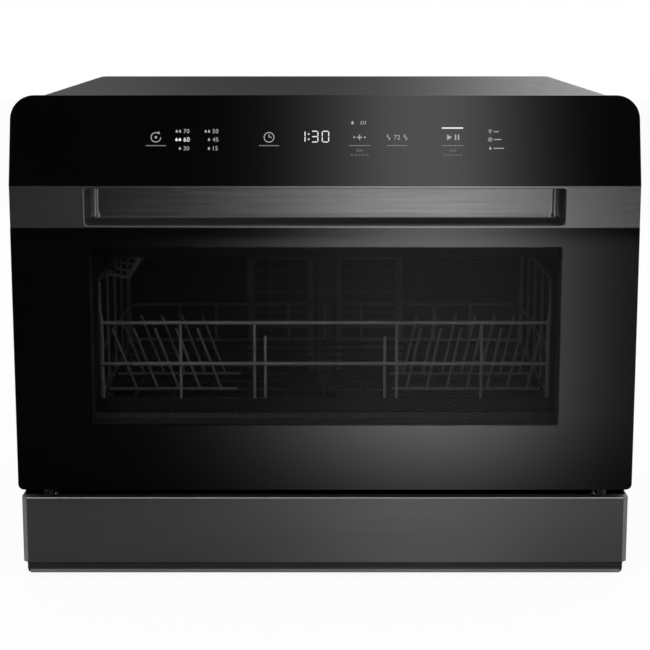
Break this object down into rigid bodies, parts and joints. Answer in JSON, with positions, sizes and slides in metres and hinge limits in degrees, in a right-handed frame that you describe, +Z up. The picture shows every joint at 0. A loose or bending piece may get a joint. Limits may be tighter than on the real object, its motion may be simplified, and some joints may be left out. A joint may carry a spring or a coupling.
{
  "type": "countertop dishwasher",
  "caption": "Black countertop dishwasher with a drop-down glass door, scooped band handle, leaning touch panel, pull-out wire rack and spray arms inside a steel tub.",
  "frame": {"origin": "middle of the footprint, on the worktop", "axes": "+Z up, the door faces -Y, +X to the right of someone facing the door"},
  "size_m": [0.55, 0.5, 0.438],
  "materials": {
    "wrap_paint": "satin black powder coat",
    "zinc_sheet": "zinc coated sheet",
    "black_plastic": "moulded",
    "black_stainless": "brushed dark stainless",
    "grey_trim": "satin",
    "stainless": "fine brushed",
    "seal_rubber": "matte",
    "spring_steel": "bright",
    "grey_plastic": "moulded",
    "white_plastic": "moulded",
    "pale_plastic": "moulded",
    "black_glass": "tinted, polished",
    "clear_glass": "polished",
    "gloss_panel": "piano black",
    "circuit_board": "solder mask",
    "rack_coating": "nylon coated wire"
  },
  "bodies": {
    "cabinet": {"cabinet_wrap": "wrap_paint", "rear_panel": "zinc_sheet", "base_tray": "black_plastic", "kick_panel": "black_stainless", "plinth_strip": "grey_trim", "front_frame": "stainless", "tub_shell": "stainless", "tub_back": "stainless", "tub_floor": "stainless", "tub_gasket": "seal_rubber", "rack_rail_left": "stainless", "rack_rail_right": "stainless", "hinge_bracket_left": "zinc_sheet", "hinge_bracket_right": "zinc_sheet", "door_spring_left": "spring_steel", "door_spring_right": "spring_steel", "latch_catch": "spring_steel", "sump": "black_plastic", "filter_plate": "stainless", "filter_cup": "grey_plastic", "wash_pump": "grey_plastic", "drain_pump": "grey_plastic", "drain_hose": "seal_rubber", "drain_spout": "black_plastic", "heater": "stainless", "inlet_valve": "white_plastic", "air_break_chamber": "white_plastic", "feed_pipe": "grey_plastic", "power_board": "grey_plastic", "cable_gland": "seal_rubber", "feet": "seal_rubber", "cabinet_screws": "zinc_sheet"},
    "door": {"door_glass": "black_glass", "door_frame": "black_plastic", "inner_liner": "stainless", "inner_glass": "clear_glass", "window_gasket": "seal_rubber", "handle_band": "black_stainless", "handle_pocket": "black_stainless", "fascia": "gloss_panel", "control_housing": "black_plastic", "control_board": "circuit_board", "detergent_cup": "grey_plastic", "door_seal": "seal_rubber", "hinge_arm_left": "zinc_sheet", "hinge_arm_right": "zinc_sheet", "latch_hook": "zinc_sheet"},
    "detergent_lid": {"detergent_lid": "pale_plastic"},
    "rinse_cap": {"rinse_cap": "grey_plastic"},
    "rack": {"rack_frame": "rack_coating", "rack_floor": "rack_coating", "rack_tines": "rack_coating", "wheel_carriers": "pale_plastic", "shelf_clips": "pale_plastic"},
    "front_wheels": {"front_wheels": "pale_plastic"},
    "rear_wheels": {"rear_wheels": "pale_plastic"},
    "cup_shelf": {"cup_shelf": "rack_coating"},
    "lower_spray_arm": {"lower_spray_arm": "grey_plastic"},
    "upper_spray_arm": {"upper_spray_arm": "grey_plastic"},
    "water_float": {"water_float": "white_plastic"}
  },
  "joints": [
    {"name": "door_hinge", "type": "hinge", "parent": "cabinet", "child": "door", "pos_m": [0, -0.236, 0.097], "axis": [1, 0, 0], "range_deg": [0, 90], "stiffness_Nm_per_rad": 4.2, "springref_deg": -8.59},
    {"name": "rack_slide", "type": "slide", "parent": "cabinet", "child": "rack", "axis": [0, -1, 0], "range_m": [0, 0.139]},
    {"name": "front_wheels_roll", "type": "hinge", "parent": "rack", "child": "front_wheels", "pos_m": [0, -0.098, 0.132], "axis": [1, 0, 0], "range_deg": [0, 665]},
    {"name": "rear_wheels_roll", "type": "hinge", "parent": "rack", "child": "rear_wheels", "pos_m": [0, 0.092, 0.132], "axis": [1, 0, 0], "range_deg": [0, 665]},
    {"name": "cup_shelf_fold", "type": "hinge", "parent": "rack", "child": "cup_shelf", "pos_m": [-0.206, 0, 0.264], "axis": [0, 1, 0], "range_deg": [0, 64]},
    {"name": "lower_spray_spin", "type": "hinge", "parent": "cabinet", "child": "lower_spray_arm", "pos_m": [0, -0.018, 0.112], "axis": [0, 0, 1], "continuous": true},
    {"name": "upper_spray_spin", "type": "hinge", "parent": "cabinet", "child": "upper_spray_arm", "pos_m": [0, -0.018, 0.39], "axis": [0, 0, 1], "continuous": true},
    {"name": "detergent_lid_slide", "type": "slide", "parent": "door", "child": "detergent_lid", "axis": [-1, 0, 0], "range_m": [0, 0.05]},
    {"name": "rinse_cap_turn", "type": "hinge", "parent": "door", "child": "rinse_cap", "pos_m": [0.174, -0.2126, 0.122], "axis": [0, 1, 0], "range_deg": [0, 90]},
    {"name": "float_rise", "type": "slide", "parent": "cabinet", "child": "water_float", "axis": [0, 0, 1], "range_m": [0, 0.01]}
  ],
  "couplings": [
    {"joint": "rack_slide", "follows": "door_hinge", "m_per_rad": 0.088},
    {"joint": "front_wheels_roll", "follows": "door_hinge", "ratio": 7.3333},
    {"joint": "rear_wheels_roll", "follows": "door_hinge", "ratio": 7.3333}
  ]
}
